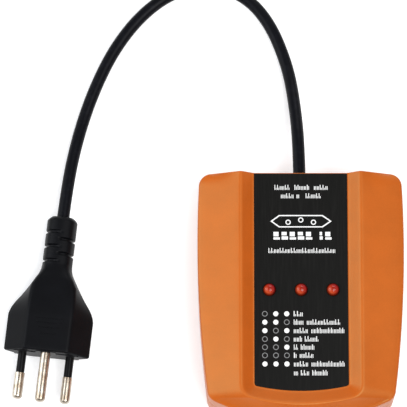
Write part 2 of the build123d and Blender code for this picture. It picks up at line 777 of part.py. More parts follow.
with BuildPart() as plug_body:
    # Six-sided head, flare and neck with its bevelled end
    extrude(flare_section(*FLARE[0]), amount=SHOULDER_DEPTH)
    loft([flare_section(depth, half_width) for depth, half_width in FLARE], ruled=True)
    add(plug_bar(NECK_RADIUS, NECK_END - NECK_NOSE_LENGTH, NECK_START))
    with BuildSketch(PLUG.offset(-NECK_END)):
        Circle(NECK_RADIUS - NECK_NOSE_INSET)
    with BuildSketch(PLUG.offset(-NECK_END + NECK_NOSE_LENGTH)):
        Circle(NECK_RADIUS)
    loft()
    # Grooves that let the neck bend, staggered from side to side
    for side, depths in GROOVE_DEPTHS.items():
        for depth in depths:
            with BuildSketch(PLUG.offset(-depth - GROOVE_WIDTH / 2)):
                Circle(NECK_RADIUS + 1)
                Circle(NECK_RADIUS - GROOVE_INSET, mode=Mode.SUBTRACT)
                with Locations((-side * (NECK_RADIUS + 1), 0)):
                    Rectangle(2 * NECK_RADIUS + 2, 2 * NECK_RADIUS + 2, mode=Mode.SUBTRACT)
            extrude(amount=GROOVE_WIDTH, mode=Mode.SUBTRACT)
    # Room for what is moulded in: carrier, crimps, cores and the lead's end
    add(carrier_block, mode=Mode.SUBTRACT)
    for pin in pins.values():
        add(pin.part, mode=Mode.SUBTRACT)
    for core in plug_cores:
        add(core.part, mode=Mode.SUBTRACT)
    add(plug_bar(CORD_RADIUS, NECK_END, jacket_depth), mode=Mode.SUBTRACT)
save(plug_body, "plug_body")
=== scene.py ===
from math import atan2, cos, pi, radians, sin, sqrt, tan

import bmesh
import bpy
from mathutils import Matrix, Vector


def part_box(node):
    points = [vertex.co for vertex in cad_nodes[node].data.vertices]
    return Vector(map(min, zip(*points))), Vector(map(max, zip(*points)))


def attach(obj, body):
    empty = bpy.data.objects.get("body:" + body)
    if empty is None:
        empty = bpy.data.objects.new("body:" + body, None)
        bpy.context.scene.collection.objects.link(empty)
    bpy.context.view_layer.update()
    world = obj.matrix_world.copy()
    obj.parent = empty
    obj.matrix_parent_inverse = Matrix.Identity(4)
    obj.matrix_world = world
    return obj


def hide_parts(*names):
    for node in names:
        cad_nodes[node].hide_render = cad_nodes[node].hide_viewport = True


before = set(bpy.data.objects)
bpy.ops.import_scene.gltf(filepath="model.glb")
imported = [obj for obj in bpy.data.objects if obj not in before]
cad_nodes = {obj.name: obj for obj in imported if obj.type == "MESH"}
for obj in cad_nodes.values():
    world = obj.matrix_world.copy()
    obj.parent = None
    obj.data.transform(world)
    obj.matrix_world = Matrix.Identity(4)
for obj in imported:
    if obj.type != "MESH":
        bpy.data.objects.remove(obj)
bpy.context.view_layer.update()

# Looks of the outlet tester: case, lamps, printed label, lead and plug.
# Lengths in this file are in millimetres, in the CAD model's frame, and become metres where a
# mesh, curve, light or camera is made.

MM = 0.001

# ------------------------------------------------------------------ sizes shared with the CAD
HALF_LENGTH = 49.5
SIDE_RADIUS = 466.0
SIDE_CENTRE = Vector((425.2, 22.2))
BOTTOM_RADIUS = 78.15
BOTTOM_CENTRE = Vector((0.0, 28.65))
CORNER_RADIUS = 5.0
PARTING_Z = 15.0
EDGE_Z = 27.0
RIDGE_Z = 33.0
LABEL_Z = 29.3
LAMP_Y = 2.3
LAMP_PITCH = 12.5
LAMP_BASE_Z = 23.0
LAMP_RADIUS = 2.5
LAMP_HEIGHT = 8.6
LAMP_HOLE_RADIUS = 2.65
WALL = 2.2
GROMMET_RADIUS = 4.2
LEAD_Z = 15.0
CORD_DIAMETER = 5.0
NECK_END = 55.5
CABLE_BORE = 4.5

CORD_ROUTE = [
    (0.0, 38.5, 15.0),
    (0.0, 62.0, 15.0),
    (-1.6, 84.0, 6.5),
    (-4.5, 101.0, 2.5),
    (-11.5, 118.5, 2.5),
    (-21.5, 129.8, 2.5),
    (-35.0, 134.5, 2.5),
    (-49.5, 132.0, 2.5),
    (-62.5, 123.0, 2.5),
    (-74.0, 108.5, 2.5),
    (-82.5, 91.0, 2.5),
    (-89.0, 71.5, 2.5),
    (-93.15, 49.1, 8.5),
    (-95.2, 30.8, 8.5),
]

# The plug's own plane: X across, Y up, Z out past the pin tips. Depths run back from its end face.
lead_end = Vector(CORD_ROUTE[-1])
pins_way = (lead_end - Vector(CORD_ROUTE[-2])).normalized()
plug_across = Vector((-pins_way.y, pins_way.x, 0.0))
plug_origin = lead_end + pins_way * (NECK_END - CABLE_BORE)
PLUG = Matrix(
    (
        (plug_across.x, 0.0, pins_way.x, plug_origin.x),
        (plug_across.y, 0.0, pins_way.y, plug_origin.y),
        (0.0, 1.0, 0.0, plug_origin.z),
        (0.0, 0.0, 0.0, 1.0),
    )
)
UPRIGHT = Matrix.Identity(4)
# Turns a profile's Z into +Y, on the lead's line through the case's top wall
ALONG_LEAD = Matrix.Translation((0.0, 0.0, LEAD_Z)) @ Matrix.Rotation(radians(-90.0), 4, "X")


# ------------------------------------------------------------------ camera
def make_camera():
    """The viewpoint is almost overhead, tilted towards the case's lower end."""
    tilt = radians(12.5)
    distance = 1400.0
    target = Vector((-38.39, 41.91, 7.0))
    data = bpy.data.cameras.new("camera")
    data.sensor_width = 36.0
    data.lens = 308.3
    data.clip_end = 20.0
    camera = bpy.data.objects.new("camera", data)
    camera.location = (target + distance * Vector((0.0, -sin(tilt), cos(tilt)))) * MM
    camera.rotation_euler = (tilt, 0.0, 0.0)
    bpy.context.scene.collection.objects.link(camera)
    bpy.context.scene.camera = camera


make_camera()


# ------------------------------------------------------------------ shader helpers
class Finish:
    """One procedural material, built up node by node."""

    def __init__(self, name):
        self.material = bpy.data.materials.new(name)
        self.material.use_nodes = True
        self.tree = self.material.node_tree
        self.shader = self.tree.nodes["Principled BSDF"]
        self.place = self.add("ShaderNodeTexCoord").outputs["Object"]

    def add(self, kind, **settings):
        node = self.tree.nodes.new(kind)
        for key, value in settings.items():
            setattr(node, key, value)
        return node

    def put(self, value, socket):
        """Link a socket, or store a number or a colour."""
        if isinstance(value, bpy.types.NodeSocket):
            self.tree.links.new(value, socket)
        elif socket.type == "RGBA":
            socket.default_value = (*value, 1.0)
        else:
            socket.default_value = value

    def noise(self, size_mm, detail=3.0, stretch=(1.0, 1.0, 1.0)):
        """Soft noise with blotches about size_mm across."""
        mapping = self.add("ShaderNodeMapping")
        self.put(self.place, mapping.inputs["Vector"])
        self.put(stretch, mapping.inputs["Scale"])
        node = self.add("ShaderNodeTexNoise")
        self.put(mapping.outputs["Vector"], node.inputs["Vector"])
        self.put(1.0 / (size_mm * MM), node.inputs["Scale"])
        self.put(detail, node.inputs["Detail"])
        return node.outputs["Fac"]

    def ramp(self, source, stops):
        """Colours along a value from 0 to 1; each stop is (place, colour)."""
        node = self.add("ShaderNodeValToRGB")
        elements = node.color_ramp.elements
        while len(elements) < len(stops):
            elements.new(0.5)
        for element, (place, colour) in zip(elements, stops):
            element.position = place
            element.color = (*colour, 1.0)
        self.put(source, node.inputs["Fac"])
        return node.outputs["Color"]

    def span(self, source, low, high, start=0.0, end=1.0):
        """The stretch of source from start to end, mapped to low..high."""
        node = self.add("ShaderNodeMapRange")
        for name, value in (("From Min", start), ("From Max", end), ("To Min", low), ("To Max", high)):
            self.put(value, node.inputs[name])
        self.put(source, node.inputs["Value"])
        return node.outputs["Result"]

    def maths(self, operation, *values):
        node = self.add("ShaderNodeMath", operation=operation)
        for value, socket in zip(values, node.inputs):
            self.put(value, socket)
        return node.outputs["Value"]

    def mix(self, share, first, second, blend="MIX"):
        """A colour between first and second, or their product with the blend MULTIPLY."""
        node = self.add("ShaderNodeMixRGB", blend_type=blend)
        self.put(share, node.inputs["Fac"])
        self.put(first, node.inputs["Color1"])
        self.put(second, node.inputs["Color2"])
        return node.outputs["Color"]

    def axes(self):
        node = self.add("ShaderNodeSeparateXYZ")
        self.put(self.place, node.inputs["Vector"])
        return node.outputs["X"], node.outputs["Y"], node.outputs["Z"]

    def bump(self, height, strength, depth_mm):
        """Roughen the surface by a height from 0 to 1."""
        node = self.add("ShaderNodeBump")
        self.put(strength, node.inputs["Strength"])
        self.put(depth_mm * MM, node.inputs["Distance"])
        self.put(height, node.inputs["Height"])
        self.put(node.outputs["Normal"], self.shader.inputs["Normal"])

    def set(self, **values):
        """Shader sockets by name, with spaces written as underscores."""
        for key, value in values.items():
            self.put(value, self.shader.inputs[key.replace("_", " ")])


def moulded(name, colour, roughness=0.45, grain_mm=0.25, grain=0.12, tint=0.12, blotch_mm=9.0, **more):
    """Moulded plastic: fine spark-eroded grain, faint flow mottling, and gloss that varies a little."""
    finish = Finish(name)
    darker = tuple(channel * (1.0 - tint) for channel in colour)
    lighter = tuple(channel * (1.0 + tint) for channel in colour)
    mottle = finish.noise(blotch_mm, detail=4.0)
    speck = finish.noise(grain_mm * 2.0, detail=2.0)
    base = finish.ramp(mottle, [(0.3, darker), (0.7, lighter)])
    shade = finish.ramp(speck, [(0.35, (0.9, 0.9, 0.9)), (0.65, (1.0, 1.0, 1.0))])
    finish.set(
        Base_Color=finish.mix(0.5, base, shade, "MULTIPLY"),
        Roughness=finish.span(speck, roughness - 0.05, roughness + 0.07),
    )
    finish.bump(finish.noise(grain_mm, detail=2.0), grain, 0.05)
    finish.set(**more)
    return finish.material


def metal(name, colour, roughness, brush=(1.0, 1.0, 1.0), stain=None):
    """Plated metal: fine drawn lines, with a dull bloom where it is handled."""
    finish = Finish(name)
    lines = finish.noise(0.8, detail=3.0, stretch=brush)
    bloom = finish.noise(3.5, detail=3.0)
    worn = stain or tuple(channel * 0.82 for channel in colour)
    finish.set(
        Base_Color=finish.ramp(bloom, [(0.35, worn), (0.62, colour)]),
        Roughness=finish.span(lines, roughness - 0.06, roughness + 0.1),
        Metallic=1.0,
    )
    finish.bump(lines, 0.04, 0.01)
    return finish.material


def film(name, colour, roughness, scuff, specular):
    """Printed polyester film: near flat, with faint orange peel and hairline scuffs."""
    finish = Finish(name)
    peel = finish.noise(1.6, detail=2.0)
    hairs = finish.noise(0.6, detail=5.0, stretch=(1.0, 0.06, 1.0))
    finish.set(
        Base_Color=finish.ramp(hairs, [(0.45, colour), (0.8, scuff)]),
        Roughness=finish.span(hairs, roughness - 0.04, roughness + 0.12),
        Specular_IOR_Level=specular,
    )
    finish.bump(peel, 0.08, 0.03)
    return finish.material


def ink(name, colour):
    """Screen-printed ink: a little uneven, with pinholes."""
    finish = Finish(name)
    thin = finish.noise(0.35, detail=3.0)
    faded = tuple(channel * 0.8 for channel in colour)
    finish.set(Base_Color=finish.ramp(thin, [(0.3, faded), (0.55, colour)]), Roughness=0.5)
    finish.bump(thin, 0.1, 0.01)
    return finish.material


def lens(name):
    """Red epoxy lamp seen end on, with light and shade painted into its colour: a painted dark rim where
    the dome turns away, a body painted lighter on one side, and rings that are partly the die and its cup,
    partly painted light in the dome.
    """
    finish = Finish(name)
    x, y, _ = finish.axes()
    squared = finish.maths("ADD", finish.maths("MULTIPLY", x, x), finish.maths("MULTIPLY", y, y))
    radius = finish.maths("DIVIDE", finish.maths("SQRT", squared), LAMP_RADIUS * MM)
    # Painted light and shade: the body is lighter towards one side and darker towards the other, as if
    # light fell through the dome.
    lean = finish.maths("ADD", finish.maths("MULTIPLY", x, 0.75), finish.maths("MULTIPLY", y, 0.65))
    side = finish.span(lean, 0.0, 1.0, -1.6 * MM, 1.6 * MM)
    body = finish.ramp(
        side,
        [(0.0, (0.46, 0.06, 0.014)), (0.5, (0.34, 0.022, 0.007)), (1.0, (0.26, 0.01, 0.011))],
    )
    # The lighter centre and its dark ring stand for the die and its cup; the bright band, the darker band
    # and the dark rim outside them are painted light and shade.
    rings = finish.ramp(
        radius,
        [
            (0.0, (1.0, 0.75, 0.6)),
            (0.09, (0.95, 0.6, 0.5)),
            (0.16, (0.42, 0.2, 0.2)),
            (0.26, (0.85, 0.7, 0.7)),
            (0.66, (1.0, 1.0, 1.0)),
            (0.82, (0.5, 0.35, 0.35)),
            (1.0, (0.13, 0.08, 0.08)),
        ],
    )
    lamp_colour_with_painted_light = finish.mix(1.0, body, rings, "MULTIPLY")
    streaks = finish.noise(0.8, detail=2.0)
    # The faint emission glows in the same painted colour.
    finish.set(
        Base_Color=lamp_colour_with_painted_light,
        Roughness=finish.span(streaks, 0.2, 0.3),
        Emission_Color=lamp_colour_with_painted_light,
        Emission_Strength=0.05,
        Specular_IOR_Level=0.25,
        Coat_Weight=0.1,
        Coat_Roughness=0.12,
    )
    finish.bump(streaks, 0.01, 0.02)
    return finish.material


def pvc_jacket(name):
    """Extruded PVC: satin black with a cool sheen, fine die lines and the odd dust speck."""
    finish = Finish(name)
    grain = finish.noise(0.5, detail=4.0)
    dust = finish.noise(2.2, detail=6.0)
    finish.set(
        Base_Color=finish.ramp(dust, [(0.5, (0.0016, 0.0018, 0.0034)), (0.78, (0.005, 0.0054, 0.0085))]),
        Roughness=finish.span(grain, 0.36, 0.5),
        Specular_IOR_Level=0.1,
    )
    finish.bump(grain, 0.12, 0.03)
    return finish.material


def banded(name, ground, bands, centres):
    """Lacquered axial component: coloured rings at set places along X from its own centre."""
    finish = Finish(name)
    x, _, _ = finish.axes()
    nearest = None
    for centre in centres:
        gap = finish.maths("ABSOLUTE", finish.maths("SUBTRACT", x, centre * MM))
        nearest = gap if nearest is None else finish.maths("MINIMUM", nearest, gap)
    along = finish.span(nearest, 0.0, 1.0, 0.0, 6.0 * MM)
    stops = [(0.0, ground)]
    for start, end, colour in bands:
        stops += [(start - 0.005, ground), (start, colour), (end, colour), (end + 0.005, ground)]
    gloss = finish.noise(1.2, detail=2.0)
    finish.set(Base_Color=finish.ramp(along, stops), Roughness=finish.span(gloss, 0.28, 0.42))
    finish.bump(gloss, 0.06, 0.04)
    return finish.material


def laminate(name):
    """Green solder mask over copper tracks, with the glass weave showing faintly."""
    finish = Finish(name)
    x, y, _ = finish.axes()
    lanes = finish.maths("PINGPONG", x, 1.27 * MM)
    rows = finish.maths("PINGPONG", y, 2.54 * MM)
    track = finish.maths("GREATER_THAN", finish.maths("MINIMUM", lanes, rows), 0.45 * MM)
    weave = finish.noise(0.7, detail=2.0)
    green = finish.ramp(weave, [(0.35, (0.008, 0.075, 0.022)), (0.65, (0.014, 0.11, 0.035))])
    finish.set(
        Base_Color=finish.mix(track, (0.02, 0.17, 0.045), green),
        Roughness=finish.span(weave, 0.25, 0.4),
    )
    finish.bump(weave, 0.08, 0.04)
    return finish.material


def striped_insulation(name, ground, stripe=None):
    """Glossy core insulation, in one colour or with a lengthwise stripe."""
    finish = Finish(name)
    wave = finish.noise(2.0, detail=2.0)
    if stripe is None:
        darker = tuple(channel * 0.75 for channel in ground)
        colour = finish.ramp(wave, [(0.3, darker), (0.7, ground)])
    else:
        _, _, z = finish.axes()
        band = finish.maths("GREATER_THAN", finish.maths("PINGPONG", z, 1.1 * MM), 0.5 * MM)
        colour = finish.mix(band, ground, stripe)
    finish.set(Base_Color=colour, Roughness=finish.span(wave, 0.25, 0.38))
    finish.bump(wave, 0.05, 0.03)
    return finish.material


ORANGE = (0.45, 0.08, 0.004)
NICKEL = (0.52, 0.47, 0.4)
DULL = {"Specular_IOR_Level": 0.08}
finishes = {
    "case": moulded(
        "case_orange",
        ORANGE,
        roughness=0.4,
        grain_mm=0.28,
        grain=0.1,
        tint=0.05,
        Specular_IOR_Level=0.6,
        Specular_Tint=(0.6, 1.0, 0.45),
    ),
    "plug": moulded("plug_black", (0.0026, 0.0028, 0.0038), roughness=0.42, grain=0.2, tint=0.2, **DULL),
    "grommet": moulded("grommet_black", (0.004, 0.004, 0.0045), roughness=0.5, grain=0.2, tint=0.2, **DULL),
    "carrier": moulded("carrier_black", (0.008, 0.008, 0.009), roughness=0.38, grain=0.15, **DULL),
    "sleeve": moulded("sleeve_black", (0.004, 0.004, 0.0045), roughness=0.3, grain=0.08, **DULL),
    "clamp": moulded("clamp_natural", (0.6, 0.56, 0.47), roughness=0.42, grain_mm=0.4, grain=0.1),
    "diode": moulded("diode_black", (0.012, 0.012, 0.012), roughness=0.35, grain_mm=0.4, grain=0.1),
    "cord": pvc_jacket("cord_black"),
    "lens": lens("lamp_red"),
    "label": film("label_black", (0.003, 0.0029, 0.0025), 0.45, (0.0064, 0.0062, 0.0056), 0.1),
    "rating": film("rating_silver", (0.42, 0.43, 0.44), 0.35, (0.55, 0.56, 0.57), 0.5),
    "white_ink": ink("ink_white", (0.78, 0.78, 0.77)),
    "grey_ink": ink("ink_grey", (0.2, 0.2, 0.2)),
    "black_ink": ink("ink_black", (0.02, 0.02, 0.02)),
    "nickel": metal("pin_nickel", NICKEL, 0.27, brush=(1.0, 0.15, 1.0), stain=(0.36, 0.29, 0.22)),
    "steel": metal("screw_zinc", (0.55, 0.55, 0.56), 0.32),
    "tin": metal("tinned_copper", (0.72, 0.71, 0.69), 0.25),
    "brass": metal("terminal_brass", (0.62, 0.47, 0.2), 0.3),
    "board": laminate("board_green"),
    "brown_core": striped_insulation("core_brown", (0.11, 0.035, 0.012)),
    "blue_core": striped_insulation("core_blue", (0.015, 0.07, 0.35)),
    "earth_core": striped_insulation("core_green_yellow", (0.03, 0.28, 0.05), (0.75, 0.6, 0.03)),
    "resistor": banded(
        "resistor_lacquer",
        (0.12, 0.27, 0.38),
        [(0.12, 0.2, (0.4, 0.02, 0.02)), (0.32, 0.4, (0.02, 0.02, 0.02)), (0.52, 0.6, (0.5, 0.2, 0.02))],
        (-9.0, 9.0),
    ),
    "fusible": banded(
        "fusible_lacquer",
        (0.2, 0.24, 0.17),
        [(0.1, 0.18, (0.3, 0.1, 0.02)), (0.36, 0.44, (0.02, 0.02, 0.02)), (0.62, 0.7, (0.6, 0.45, 0.05))],
        (0.0,),
    ),
}


# ------------------------------------------------------------------ mesh helpers
def dress(piece, finish, slot, *replaced):
    """Give a piece its finish and its body, and hide the CAD nodes it stands for; slot is not used."""
    piece.data.materials.clear()
    piece.data.materials.append(finishes[finish])
    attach(piece, "root")
    if replaced:
        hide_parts(*replaced)
    return piece


def smooth(mesh, angle=35.0):
    """Smooth shading, with edges sharper than angle kept crisp."""
    mesh.shade_smooth()
    mesh.set_sharp_from_angle(angle=radians(angle))


def new_piece(name, points, faces, place=UPRIGHT, origin=(0.0, 0.0, 0.0), angle=35.0):
    """A mesh object from points in millimetres; origin is where the object's own origin stands."""
    origin = Vector(origin)
    mesh = bpy.data.meshes.new(name)
    mesh.from_pydata([(place @ Vector(point) - origin) * MM for point in points], [], faces)
    work = bmesh.new()
    work.from_mesh(mesh)
    bmesh.ops.remove_doubles(work, verts=work.verts, dist=1e-6)
    bmesh.ops.recalc_face_normals(work, faces=work.faces)
    work.to_mesh(mesh)
    work.free()
    smooth(mesh, angle)
    piece = bpy.data.objects.new(name, mesh)
    piece.location = origin * MM
    bpy.context.scene.collection.objects.link(piece)
    return piece


def ring_faces(ring_count, ring_size, start=0, closed=False):
    """Quads between neighbouring rings; closed also joins the last ring to the first."""
    faces = []
    for ring in range(ring_count if closed else ring_count - 1):
        low = start + ring * ring_size
        high = start + (ring + 1) % ring_count * ring_size
        for step in range(ring_size):
            after = (step + 1) % ring_size
            faces.append((low + step, low + after, high + after, high + step))
    return faces


def ring_solid(name, rings, place=UPRIGHT, **more):
    """A closed solid through rings of equally many points, with flat ends."""
    size = len(rings[0])
    points = [point for ring in rings for point in ring]
    faces = ring_faces(len(rings), size)
    faces.append(tuple(reversed(range(size))))
    faces.append(tuple(range(len(points) - size, len(points))))
    return new_piece(name, points, faces, place, **more)


def turned(name, profile, place=UPRIGHT, centre=(0.0, 0.0), tube=False, steps=64, **more):
    """A profile of (radius, height) points turned about the place's Z, a closed tube if tube is set."""
    rings = [
        [
            (
                centre[0] + radius * cos(2 * pi * step / steps),
                centre[1] + radius * sin(2 * pi * step / steps),
                height,
            )
            for step in range(steps)
        ]
        for radius, height in profile
    ]
    if not tube:
        return ring_solid(name, rings, place, **more)
    points = [point for ring in rings for point in ring]
    return new_piece(name, points, ring_faces(len(rings), steps, closed=True), place, **more)


def arc(centre, radius, start, end, steps):
    """Points round an arc, both ends included, angles in radians."""
    turn = (end - start) / steps
    return [
        Vector((centre[0] + radius * cos(start + turn * i), centre[1] + radius * sin(start + turn * i)))
        for i in range(steps + 1)
    ]


def eased(corner, before, after, trim, steps):
    """A corner of a line in space, rounded off over trim on both sides."""
    start = corner + (before - corner).normalized() * trim
    end = corner + (after - corner).normalized() * trim
    points = []
    for i in range(steps + 1):
        t = i / steps
        points.append(start * (1 - t) ** 2 + corner * 2 * t * (1 - t) + end * t**2)
    return points


def between(start, end, steps):
    """Evenly spaced points from start to end, both left out."""
    return [start.lerp(end, i / steps) for i in range(1, steps)]


def cut(piece, *tools):
    """Subtract tools from a piece for good, and throw them away."""
    for tool in tools:
        modifier = piece.modifiers.new("cut", "BOOLEAN")
        modifier.operation = "DIFFERENCE"
        modifier.solver = "EXACT"
        modifier.object = tool
    settled = bpy.context.evaluated_depsgraph_get()
    mesh = bpy.data.meshes.new_from_object(piece.evaluated_get(settled))
    piece.modifiers.clear()
    piece.data = mesh
    for tool in tools:
        bpy.data.objects.remove(tool)


# ------------------------------------------------------------------ lead
def make_cord():
    """The lead: one smooth curve from inside the case to inside the plug's neck."""
    curve = bpy.data.curves.new("cord_line", "CURVE")
    curve.dimensions = "3D"
    curve.bevel_depth = CORD_DIAMETER / 2 * MM
    curve.bevel_resolution = 8
    curve.use_fill_caps = True
    spline = curve.splines.new("NURBS")
    spline.points.add(len(CORD_ROUTE) - 1)
    for point, place in zip(spline.points, CORD_ROUTE):
        point.co = (*(Vector(place) * MM), 1.0)
    spline.order_u = 3
    spline.use_endpoint_u = True
    spline.resolution_u = 24
    cord = bpy.data.objects.new("cord_line", curve)
    bpy.context.scene.collection.objects.link(cord)
    return dress(cord, "cord", "cord_pvc", "cord")


cord = make_cord()


# ------------------------------------------------------------------ case
SIDE_STEPS = (10, 60, 14, 36)


def heading(start, end):
    """The direction from start to end, from 0 to a full turn."""
    return atan2(end[1] - start[1], end[0] - start[0]) % (2 * pi)


def case_half(inset):
    """Left half of the case's outline, from its top edge round to the middle of its bottom."""
    to_corner = SIDE_RADIUS - CORNER_RADIUS
    top_y = HALF_LENGTH - CORNER_RADIUS
    top = Vector((SIDE_CENTRE.x - sqrt(to_corner**2 - (top_y - SIDE_CENTRE.y) ** 2), top_y))
    gap = BOTTOM_CENTRE - SIDE_CENTRE
    reach = BOTTOM_RADIUS - CORNER_RADIUS
    along = (gap.length_squared + to_corner**2 - reach**2) / (2 * gap.length)
    aside = sqrt(to_corner**2 - along**2)
    way = gap.normalized()
    low = SIDE_CENTRE + way * along + Vector((-way.y, way.x)) * aside
    first, second, third, fourth = SIDE_STEPS
    side_start = heading(SIDE_CENTRE, top)
    side_end = heading(SIDE_CENTRE, low)
    bottom_start = heading(BOTTOM_CENTRE, low)
    radius = CORNER_RADIUS - inset
    line = arc(top, radius, pi / 2, side_start, first)
    line += arc(SIDE_CENTRE, SIDE_RADIUS - inset, side_start, side_end, second)[1:]
    line += arc(low, radius, side_end, bottom_start, third)[1:]
    line += arc(BOTTOM_CENTRE, BOTTOM_RADIUS - inset, bottom_start, 1.5 * pi, fourth)[1:]
    return line


def tongue_half(half_width, bottom_y, corner_y, radius, top_y):
    """Left half of a straight-sided outline with a bowed bottom, in as many steps as the case's."""
    sag = corner_y - bottom_y
    bow = (half_width**2 + sag**2) / (2 * sag)
    centre = Vector((0.0, bottom_y + bow))
    corner_x = radius - half_width
    corner = Vector((corner_x, centre.y - sqrt((bow - radius) ** 2 - corner_x**2)))
    first, second, third, fourth = SIDE_STEPS
    top = Vector((-half_width, top_y))
    joint = Vector((-half_width, top_y - 8.0))
    end = Vector((-half_width, corner.y))
    turn = heading(centre, corner)
    line = [top] + between(top, joint, first) + [joint] + between(joint, end, second) + [end]
    line += arc(corner, radius, pi, turn, third)[1:]
    line += arc(centre, bow, turn, 1.5 * pi, fourth)[1:]
    return line


def lifted(flat, height):
    """A flat point at a height."""
    return Vector((flat.x, flat.y, height))


def mirrored(columns):
    """The left half's columns, then the right half's, back to the top edge."""
    flipped = [[Vector((-p.x, p.y, p.z)) for p in column] for column in reversed(columns[:-1])]
    return columns + flipped


def make_case_front():
    """The front shell: bowed slopes up to a ridge, a valley for the label, and rounded edges."""
    top_round = 0.4
    side_round = 0.9
    ridge_trim = 1.2
    ceiling_z = 26.0
    pocket_depth = 0.4
    top_y = HALF_LENGTH - top_round
    outer = case_half(0.0)
    inward = [inner - point for inner, point in zip(case_half(1.0), outer)]
    ridge = tongue_half(23.6, -43.6, -40.2, 6.0, top_y)
    floor = tongue_half(18.9, -38.4, -36.2, 1.6, top_y)
    pocket = tongue_half(18.55, -38.05, -35.95, 1.35, top_y)

    columns = []
    skirts = []
    for index, (edge, way) in enumerate(zip(outer, inward)):
        share = min(1.0, index / SIDE_STEPS[0])
        inset = top_round + (side_round - top_round) * share
        slope = ridge[index] - edge
        rise = (RIDGE_Z - EDGE_Z) * inset * slope.normalized().dot(way) / slope.length
        start = lifted(edge + way * inset, EDGE_Z + rise)
        crest = lifted(ridge[index], RIDGE_Z)
        foot = lifted(floor[index], LABEL_Z)
        lip = lifted(pocket[index], LABEL_Z)
        crown = eased(crest, start, foot, ridge_trim, 10)
        heel = eased(foot, crest, lip, 0.3, 4)
        column = [start] + between(start, crown[0], 6) + crown
        column += between(crown[-1], heel[0], 4) + heel
        column += [lip, lifted(pocket[index], LABEL_Z - pocket_depth)]
        columns.append(column)
        skirts.append((lifted(edge, EDGE_Z), inset))
    columns = mirrored(columns)

    points = [point for column in columns for point in column]
    depth = len(columns[0])
    faces = []
    for row in range(len(columns) - 1):
        for step in range(depth - 1):
            a = row * depth + step
            faces.append((a, a + 1, a + 1 + depth, a + depth))
    faces.append(tuple(row * depth + depth - 1 for row in range(len(columns))))

    # The closed border of that surface: round the outline, then back along the top edge
    border = [row * depth for row in range(len(columns))]
    shoulders = skirts + [(Vector((-s.x, s.y, s.z)), inset) for s, inset in reversed(skirts[:-1])]
    last = (len(columns) - 1) * depth
    for index in [last + step for step in range(1, depth)] + [step for step in reversed(range(1, depth))]:
        border.append(index)
        point = points[index]
        shoulders.append((Vector((point.x, HALF_LENGTH, point.z)), top_round))
    border_start = len(points)
    rounding = 5
    rings = []
    for step in range(1, rounding + 1):
        t = step / rounding
        ring = []
        for index, (shoulder, inset) in zip(border, shoulders):
            low = shoulder - Vector((0.0, 0.0, inset))
            ring.append(points[index] * (1 - t) ** 2 + shoulder * 2 * t * (1 - t) + low * t**2)
        rings.append(ring)
    inner_line = case_half(WALL)
    inner_line += [Vector((-p.x, p.y)) for p in reversed(inner_line[:-1])]
    edge_in = [shoulder for shoulder, _ in shoulders]
    seam_shrink = 0.997
    rings.append([Vector((p.x, p.y, PARTING_Z + 0.2)) for p in edge_in])
    rings.append([Vector((seam_shrink * p.x, seam_shrink * p.y, PARTING_Z)) for p in edge_in])
    inside = []
    for index, p in enumerate(edge_in):
        if index < len(inner_line):
            inside.append(inner_line[index])
        else:
            limit = inner_line[0].x
            inside.append(Vector((max(limit, min(-limit, p.x)), HALF_LENGTH - WALL)))
    rings.append([Vector((p.x, p.y, PARTING_Z)) for p in inside])
    rings.append([Vector((p.x, p.y, ceiling_z)) for p in inside])
    size = len(border)
    for ring in rings:
        points += ring
    for step in range(size):
        after = (step + 1) % size
        faces.append((border[step], border[after], border_start + after, border_start + step))
    faces += ring_faces(len(rings), size, border_start)
    faces.append(tuple(range(len(points) - size, len(points))))
    shell = new_piece("case_front", points, faces, angle=28.0)

    tools = []
    for step in (-1, 0, 1):
        profile = [(LAMP_HOLE_RADIUS, ceiling_z - 2.0), (LAMP_HOLE_RADIUS, LABEL_Z + 2.0)]
        tools.append(turned("hole", profile, centre=(step * LAMP_PITCH, LAMP_Y)))
    notch = [(GROMMET_RADIUS, HALF_LENGTH - 5.0), (GROMMET_RADIUS, HALF_LENGTH + 3.0)]
    tools.append(turned("notch", notch, ALONG_LEAD))
    cut(shell, *tools)
    smooth(shell.data, 28.0)
    return dress(shell, "case", "case_plastic", "front_shell")


make_case_front()


# ------------------------------------------------------------------ label print
def slab(name, outlines, base_z, thickness, finish, slot):
    """Flat inked shapes; each outline is a closed line, or a pair of them for a ring."""
    points = []
    faces = []
    for outline in outlines:
        lines = outline if isinstance(outline, tuple) else (outline,)
        start = len(points)
        size = len(lines[0])
        for line in lines:
            for height in (base_z, base_z + thickness):
                points += [(p[0], p[1], height) for p in line]
        ring = ring_faces(2, size, start)
        if len(lines) == 1:
            faces += ring
            faces.append(tuple(range(start, start + size)))
            faces.append(tuple(range(start + size, start + 2 * size)))
        else:
            inner = start + 2 * size
            faces += ring + ring_faces(2, size, inner)
            for offset in (0, size):
                for step in range(size):
                    after = (step + 1) % size
                    low, high = start + offset, inner + offset
                    faces.append((low + step, low + after, high + after, high + step))
    piece = new_piece(name, points, faces, angle=30.0)
    return dress(piece, finish, slot)


def bar(left, right, low, high, lean=0.0):
    """A four-sided mark, leaning to the right by lean."""
    return [(left, low), (right, low), (right + lean, high), (left + lean, high)]


def round_shape(x, y, radius, steps=28):
    return [(p.x, p.y) for p in arc((x, y), radius, 0.0, 2 * pi, steps)[:-1]]


def marks(left, right, low, height, pitch=1.12, seed=0):
    """A run of plain upright strokes, tall and short, that stands in for a printed word."""
    count = max(1, round((right - left) / pitch))
    step = (right - left) / count
    shapes = []
    for index in range(count):
        kind = (index * 7 + seed * 3 + index * index) % 4
        start = left + index * step
        tall = height if kind in (0, 3) else 0.72 * height
        short = 0.72 * height if kind else 0.4 * height
        shapes.append(bar(start, start + 0.27 * step, low, low + tall))
        shapes.append(bar(start + 0.5 * step, start + 0.7 * step, low, low + short))
    return shapes


